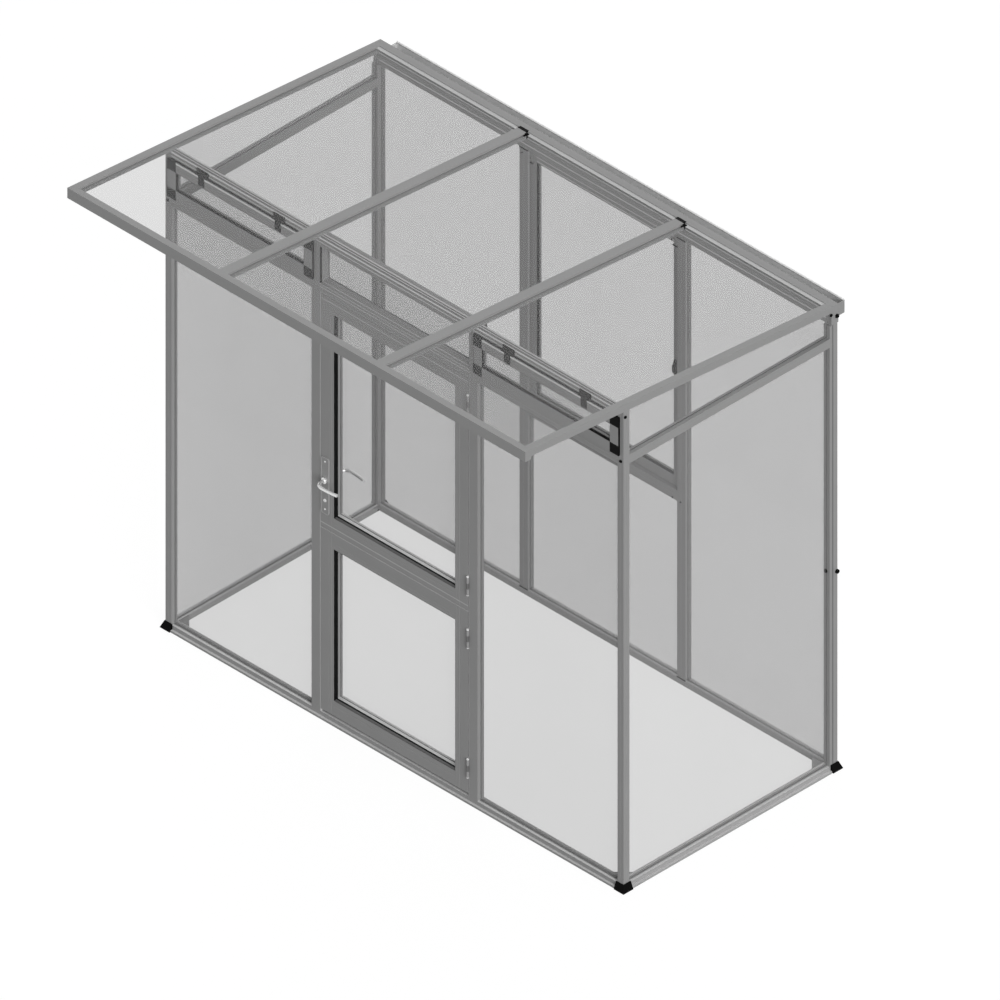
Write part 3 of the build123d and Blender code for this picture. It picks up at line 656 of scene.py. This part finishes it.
bm = bmesh.new()
back_face = posts.y1
for x, out in ((0.0, -1), (LENGTH, 1)):
    stamp(bm, bolt, (x - out * 13, 0, FRONT_BOLT_HEIGHT), OUT)
    stamp(bm, bolt, (x, 8, TOP_BOLT_HEIGHT), (out, 0, 0))
    stamp(bm, bolt, (x, back_face - 33, BACK_BOLT_HEIGHT), (out, 0, 0))
    stamp(bm, long_bolt, (x, back_face - 4, BACK_BOLT_HEIGHT - 16), (out, 0, 0))
disc = head(8.0, 4.0)
knob = head(8.5, 9.0)
stamp(bm, disc, (LENGTH - 19, back_face - BACK_POST_DEEP, WALL_FIXING_HEIGHT + 9), OUT)
stamp(bm, knob, (LENGTH, back_face - 4, WALL_FIXING_HEIGHT), (1, 0, 0))
finish_piece("post_bolts", bm, "frame", black_plastic)

# %% Window screws and brackets
POST_SCREWS = ((748.5, 1921.0), (1531.0, 1901.0), (1507.0, 797.0), (1548.0, 795.5))
SASH_SCREWS = ((774.8, 1905.0), (1490.0, 1907.0))
BRACKETS = (770.0, 1494.0)
BRACKET_WIDE = 22
BRACKET_THICK = 2
BRACKET_LOW, BRACKET_HIGH = 1884, 1890

bm = bmesh.new()
for face, places in ((back_beam.y0, POST_SCREWS), (window.y0, SASH_SCREWS)):
    for x, z in places:
        stamp(bm, screw, (x, face, z), OUT)
for x0 in BRACKETS:
    strip(bm, (x0, window.y0 - BRACKET_THICK, BRACKET_LOW),
          (x0 + BRACKET_WIDE, window.y0, BRACKET_HIGH), 0.4)
finish_piece("window_screws", bm, "frame", black_plastic)

# %% [markdown]
# ## Sills
# The ground sills have a lip on the outside and a glazing bead behind the pane. The lip's top,
# a strip along the bar's top and the bead are painted lighter than the rest of the bar, as
# painted highlights where light falls on them. Thin strips on the bar are enough, because only
# their faces show.

# %% Sill lips and beads
LIP = 11.0
LIP_TALL = 8.0
SILL_TALL = 24.0
SILL_DEEP = 30.0
FOOT = 36.0
BEAD_TALL = 8.0
BEAD_WIDE = 3.0
LIP_COVER = 0.5
PAST_POST = POST_WIDE + 1
ON_LIP = (1 - LIP, -0.5)       # how far inside the bar's outer face each strip lies
ON_FRONT = (0.8, 10)
ON_BACK = (SILL_DEEP - BEAD_WIDE, SILL_DEEP)


def inside_of(face, out, depths):
    """Two places that far inside an outer face, the smaller one first."""
    return sorted(face - out * depth for depth in depths)


side_end = posts.y1 - BACK_POST_DEEP
lip_bottom, lip_top = LIP_TALL - SET_IN, LIP_TALL + LIP_COVER
sill_top = SILL_TALL - SET_IN
# Light grey metal, a lighter copy of the coat: painted light on the sill beads, door gap strips,
# door ribs and lock plate rims.
bead_lit_metal = worked("bead_lit_metal", 0.52, 0.4).data

lips_bm = bmesh.new()
beads_bm = bmesh.new()
for y, out in ((0.0, -1), (posts.y1, 1)):
    near, far = inside_of(y, out, ON_LIP)
    strip(lips_bm, (FOOT, near, lip_bottom), (LENGTH - FOOT, far, lip_top), 0.2)
    near, far = inside_of(y, out, ON_FRONT)
    strip(lips_bm, (posts.x0 + PAST_POST, near, sill_top),
          (LENGTH - PAST_POST, far, SILL_TALL + FACE_PROUD), 0.3)
    near, far = inside_of(y, out, ON_BACK)
    strip(beads_bm, (PAST_POST, near, sill_top), (LENGTH - PAST_POST, far, SILL_TALL + BEAD_TALL))
for x, out in ((0.0, -1), (LENGTH, 1)):
    near, far = inside_of(x, out, ON_LIP)
    strip(lips_bm, (near, FOOT, lip_bottom), (far, posts.y1 - FOOT, lip_top), 0.2)
    near, far = inside_of(x, out, ON_FRONT)
    strip(lips_bm, (near, PAST_POST, sill_top), (far, side_end - 1, SILL_TALL + FACE_PROUD), 0.3)
    near, far = inside_of(x, out, ON_BACK)
    strip(beads_bm, (near, PAST_POST, sill_top), (far, side_end - 1, SILL_TALL + BEAD_TALL))
finish_piece("sill_lip_tops", lips_bm, "frame", rib_highlight_metal)
finish_piece("sill_glazing_beads", beads_bm, "frame", bead_lit_metal)

# %% [markdown]
# ## Corner plates
# A flat three-cornered plate ties the sills together in each inner corner. A cube cut on the
# slant would do, but three vertices already say the shape. An extrusion gives the plate its
# thickness, and a bevel its soft edges. The plates stand for the frame's own small brackets.

# %% Corner plates
PLATE_LEG = 60.0
SMALL_LEG = 26.0
PLATE_THICK = 2.0

bm = bmesh.new()
right_end = LENGTH - POST_WIDE
for x, y, dx, dy, leg in ((POST_WIDE, POST_WIDE, 1, 1, PLATE_LEG),
                          (right_end, POST_WIDE, -1, 1, PLATE_LEG),
                          (POST_WIDE, side_end, 1, -1, SMALL_LEG),
                          (right_end, side_end, -1, -1, PLATE_LEG)):
    corners = [bm.verts.new(spot(*place)) for place in
               ((x, y, SILL_TALL), (x + dx * leg, y, SILL_TALL), (x, y + dy * leg, SILL_TALL))]
    face = bm.faces.new(corners)
    raised = bmesh.ops.extrude_face_region(bm, geom=[face], use_keep_orig=True)["geom"]
    added = [item for item in raised if isinstance(item, bmesh.types.BMVert)]
    bmesh.ops.translate(bm, vec=(0, 0, PLATE_THICK * MM), verts=added)
    rim = list({edge for vertex in added for edge in vertex.link_edges
                if edge.other_vert(vertex) in added})
    bmesh.ops.bevel(bm, geom=rim, offset=0.5 * MM, segments=2, profile=0.5, material=-1,
                    affect="EDGES")
plates = finish_piece("corner_plates", bm, "frame", aluminium)
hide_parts("corner_brackets")

# %% [markdown]
# ## Door trim
# A light grey strip closes the gap between each post and the door, another the gap under the
# door head, and a third rides on the lower leaf and closes the gap between the leaves. Their
# light grey is painted light, for the lit faces inside the gaps. They are 3 mm thick in a gap
# of 5 mm, so the leaves swing clear of them.

# %% Gap strips
GAP_STRIP = 3.0
GAP_START, GAP_DEEP = 0.6, 9.0
GAP_ROUNDING = 0.4
HINGE_TALL = 77.0
HINGE_CLEAR = 0.5
lower = sides("lower_door_stiles")
upper = sides("upper_door_stiles")
head_rail = sides("door_head_rail")
hinge_spans = []
for node in ("lower_door_hinges", "upper_door_hinges"):
    knuckles = [vertex.co.z for vertex in nodes[node].data.vertices]
    middle = (min(knuckles) + max(knuckles)) / 2
    for group in ([z for z in knuckles if z < middle], [z for z in knuckles if z > middle]):
        centre = (min(group) + max(group)) / 2 / MM
        hinge_spans.append((centre - HINGE_TALL / 2, centre + HINGE_TALL / 2))
hinge_spans.sort()

bm = bmesh.new()
strip(bm, (head_rail.x0, GAP_START, SILL_TALL),
      (head_rail.x0 + GAP_STRIP, GAP_DEEP, head_rail.z0), GAP_ROUNDING)
bottom = SILL_TALL
for z0, z1 in hinge_spans + [(head_rail.z0, 0)]:
    strip(bm, (head_rail.x1 - GAP_STRIP, GAP_START, bottom),
          (head_rail.x1, GAP_DEEP, z0 - HINGE_CLEAR), GAP_ROUNDING)
    bottom = z1 + HINGE_CLEAR
strip(bm, (head_rail.x0 + 4, GAP_START, head_rail.z0 - GAP_STRIP),
      (head_rail.x1 - 4, GAP_DEEP, head_rail.z0), GAP_ROUNDING)
finish_piece("door_gap_strips", bm, "frame", bead_lit_metal)

bm = bmesh.new()
strip(bm, (lower.x0 + 1, GAP_START, lower.z1),
      (lower.x1 - 1, GAP_DEEP, lower.z1 + GAP_STRIP), GAP_ROUNDING)
finish_piece("leaf_gap_strip", bm, "lower_door", bead_lit_metal)
print("hinges", [[round(z) for z in span] for span in hinge_spans])

# %% [markdown]
# ## Hinge domes and head ribs
# Each hinge barrel ends in a small dome, painted near-white as a highlight. It is stamped like
# a screw head, with hardly any hollow. Ribs on the door head repeat those of the other rails,
# in a light grey that is a painted highlight.

# %% Hinge domes and head ribs
HINGE_X = head_rail.x1 - 2.5
HINGE_Y = -5.0
HEAD_RIB_TALL = 3
HEAD_RIBS = (head_rail.z1 - HEAD_RIB_TALL, head_rail.z0 + 20)
HEAD_TOP_RIB = (12, 16)
dome = head(5.0, 3.0, hollow=0.2)

bm = bmesh.new()
for z0, z1 in hinge_spans:
    stamp(bm, dome, (HINGE_X, HINGE_Y, z1), (0, 0, 1))
    stamp(bm, dome, (HINGE_X, HINGE_Y, z0), (0, 0, -1))
finish_piece("hinge_domes", bm, "frame", highlight_metal)

bm = bmesh.new()
for low in HEAD_RIBS:
    strip(bm, (head_rail.x0, -0.7, low), (head_rail.x1, SET_IN, low + HEAD_RIB_TALL), 0.3)
strip(bm, (head_rail.x0, HEAD_TOP_RIB[0], head_rail.z1 - SET_IN),
      (head_rail.x1, HEAD_TOP_RIB[1], head_rail.z1 + FACE_PROUD), 0.3)
finish_piece("door_head_ribs", bm, "frame", bead_lit_metal)

# %% [markdown]
# ## Door glazing beads
# Under each pane of the door the black seal is covered in front by a softer grey lip and
# behind by a metal glazing bead, and a second bead holds the pane from inside. They ride on
# their leaf, so they are made leaf by leaf. The beads and the ribs on the upper leaf are light
# grey, painted highlights.

# %% Door glazing beads
LIP_DEEP = 12.0
SEAL_THICK = 1.6
OUTER_BEAD_END = 32.5          # the pane lies between the two beads
INNER_BEAD = (37.3, 44.5)
BEAD_RISE = 2.5
LEAF_RIB_IN = 20.0
LEAF_RIB_TALL = 3
dark_grey_rubber = worked("dark_grey_rubber", 0.15, 0.7, 0.2).data
for leaf in ("lower", "upper"):
    seal = sides(leaf + "_door_seal")
    low, high = seal.z0 - SET_IN, seal.z0 + BEAD_RISE
    bm = bmesh.new()
    strip(bm, (seal.x0 + SEAL_THICK, 0.8, seal.z0 + 1),
          (seal.x1 - SEAL_THICK, LIP_DEEP, seal.z0 + 2.2), 0.3)
    finish_piece(leaf + "_door_lip", bm, leaf + "_door", dark_grey_rubber)
    bm = bmesh.new()
    for y0, y1 in ((seal.y1 + 0.3, OUTER_BEAD_END), INNER_BEAD):
        strip(bm, (seal.x0, y0, low), (seal.x1, y1, high), 0.3)
    finish_piece(leaf + "_door_bead", bm, leaf + "_door", rib_highlight_metal)

bm = bmesh.new()
for rise in (LEAF_RIB_IN, upper.z1 - upper.z0 - LEAF_RIB_IN):
    strip(bm, (upper.x0 + 1, -0.6, upper.z0 + rise),
          (upper.x1 - 1, SET_IN, upper.z0 + rise + LEAF_RIB_TALL), 0.2)
finish_piece("upper_leaf_ribs", bm, "upper_door", bead_lit_metal)

# %% [markdown]
# ## Fanlight and rear posts
# The fixed pane over the door is edged with black rubber where it meets the posts. The rear
# corner posts have a channel down their outer side, where they are fixed to the wall, and a
# dark grey strip in it is painted shade. Both are plain strips: a channel this shallow shows
# only as a change of tone.

# %% Fanlight gaskets and rear channels
GASKET_DEEP = 10.0
GASKET_THICK = 1.5
CHANNEL_FROM_FRONT = 12.0
CHANNEL_WIDE = 6.0
CHANNEL_HALF = 0.4

bm = bmesh.new()
for x0, x1 in ((head_rail.x0, head_rail.x0 + GASKET_THICK),
               (head_rail.x1 - GASKET_THICK, head_rail.x1)):
    strip(bm, (x0, 0.4, head_rail.z1), (x1, GASKET_DEEP, eaves.z0), 0.3)
finish_piece("fanlight_gaskets", bm, "frame", rubber)

bm = bmesh.new()
channel = side_end + CHANNEL_FROM_FRONT
for x in (0, LENGTH):
    strip(bm, (x - CHANNEL_HALF, channel, PAST_POST),
          (x + CHANNEL_HALF, channel + CHANNEL_WIDE, back_beam.z0), 0.2)
finish_piece("rear_post_channels", bm, "frame", shade_line_rubber)

# %% [markdown]
# ## Lock furniture
# The long plate has a raised rim, made from one rounded face that is inset and emptied, and
# the ring that is left gets its thickness by an extrusion. Screws and a key cylinder finish it.
# The rim's light grey and the near-white screws and cylinder are painted highlights.

# %% Plate rims, screws and cylinder
plate = sides("lock_plates")
LEVER_BELOW_AXIS = 12.5
lever_z = sides("lever_handle").z0 + LEVER_BELOW_AXIS
RIM_WIDE = 1.6
RIM_THICK = 0.8
RIM_CORNER = 9.0
SCREW_FROM_AXIS = (80.0, -127.0)
KEY_BELOW = 89.0
middle_x = (plate.x0 + plate.x1) / 2
middle_z = (plate.z0 + plate.z1) / 2


def plate_rim(bm, y, outward):
    """A raised rounded frame along the edge of the lock plate, on the face at this depth."""
    wide, tall = plate.x1 - plate.x0, plate.z1 - plate.z0
    made = bmesh.ops.create_grid(bm, x_segments=1, y_segments=1, size=0.5)["verts"]
    bmesh.ops.scale(bm, vec=(wide * MM, tall * MM, 1), verts=made)
    round_off = bmesh.ops.bevel(bm, geom=made, offset=RIM_CORNER * MM, segments=5, profile=0.5,
                                material=-1, affect="VERTICES")
    face = round_off["verts"][0].link_faces[0]
    ring = bmesh.ops.inset_region(bm, faces=[face], thickness=RIM_WIDE * MM, use_boundary=True,
                                  use_even_offset=True)["faces"]
    bmesh.ops.delete(bm, geom=[face], context="FACES_ONLY")
    raised = bmesh.ops.extrude_face_region(bm, geom=ring, use_keep_orig=True)["geom"]
    added = [item for item in raised if isinstance(item, bmesh.types.BMVert)]
    bmesh.ops.translate(bm, vec=(0, 0, RIM_THICK * MM), verts=added)
    turn = Matrix.Rotation(pi / 2 if outward < 0 else -pi / 2, 4, "X")
    verts = list({vertex for face in ring for vertex in face.verts} | set(added))
    bmesh.ops.transform(bm, matrix=Matrix.Translation(spot(middle_x, y, middle_z)) @ turn,
                        verts=verts)


cylinder = head(6.5, 3.0, corners=24, hollow=0.6)
for name, y, outward in (("outer", plate.y0, -1), ("inner", plate.y1, 1)):
    bm = bmesh.new()
    plate_rim(bm, y, outward)
    finish_piece(name + "_plate_rim", bm, "upper_door", bead_lit_metal)
    bm = bmesh.new()
    for rise in SCREW_FROM_AXIS:
        stamp(bm, screw, (middle_x, y, lever_z + rise), (0, outward, 0))
    stamp(bm, cylinder, (middle_x, y, lever_z - KEY_BELOW), (0, outward, 0))
    finish_piece(name + "_key_cylinder", bm, "upper_door", highlight_metal)

# %% [markdown]
# ## Floor
# A plain white floor. The camera sees it as white paper, because it glows for that kind of
# ray alone and throws no light on the greenhouse. The rest of the material is a dull grey.

# %% White floor
FLOOR_REACH = 12.0
FLOOR_DROP = -0.001
FLOOR_GREY = 0.12
FLOOR_GLOW = 0.93

bm = bmesh.new()
bmesh.ops.create_grid(bm, x_segments=1, y_segments=1, size=FLOOR_REACH)
floor_mesh = bpy.data.meshes.new("floor")
bm.to_mesh(floor_mesh)
bm.free()
floor = bpy.data.objects.new("floor", floor_mesh)
floor.location.z = FLOOR_DROP
scene.collection.objects.link(floor)
paper = Finish("paper", grey(FLOOR_GREY), 0.9, specular=0.0)
seen = paper.node("ShaderNodeLightPath", {}, {}, "Is Camera Ray")
mirrored = paper.node("ShaderNodeLightPath", {}, {}, "Is Glossy Ray")
paper.set("Emission Color", (1, 1, 1, 1))
paper.set("Emission Strength", (seen + mirrored) * FLOOR_GLOW)
floor_mesh.materials.append(paper.data)
print("floor reaches", FLOOR_REACH, "m")
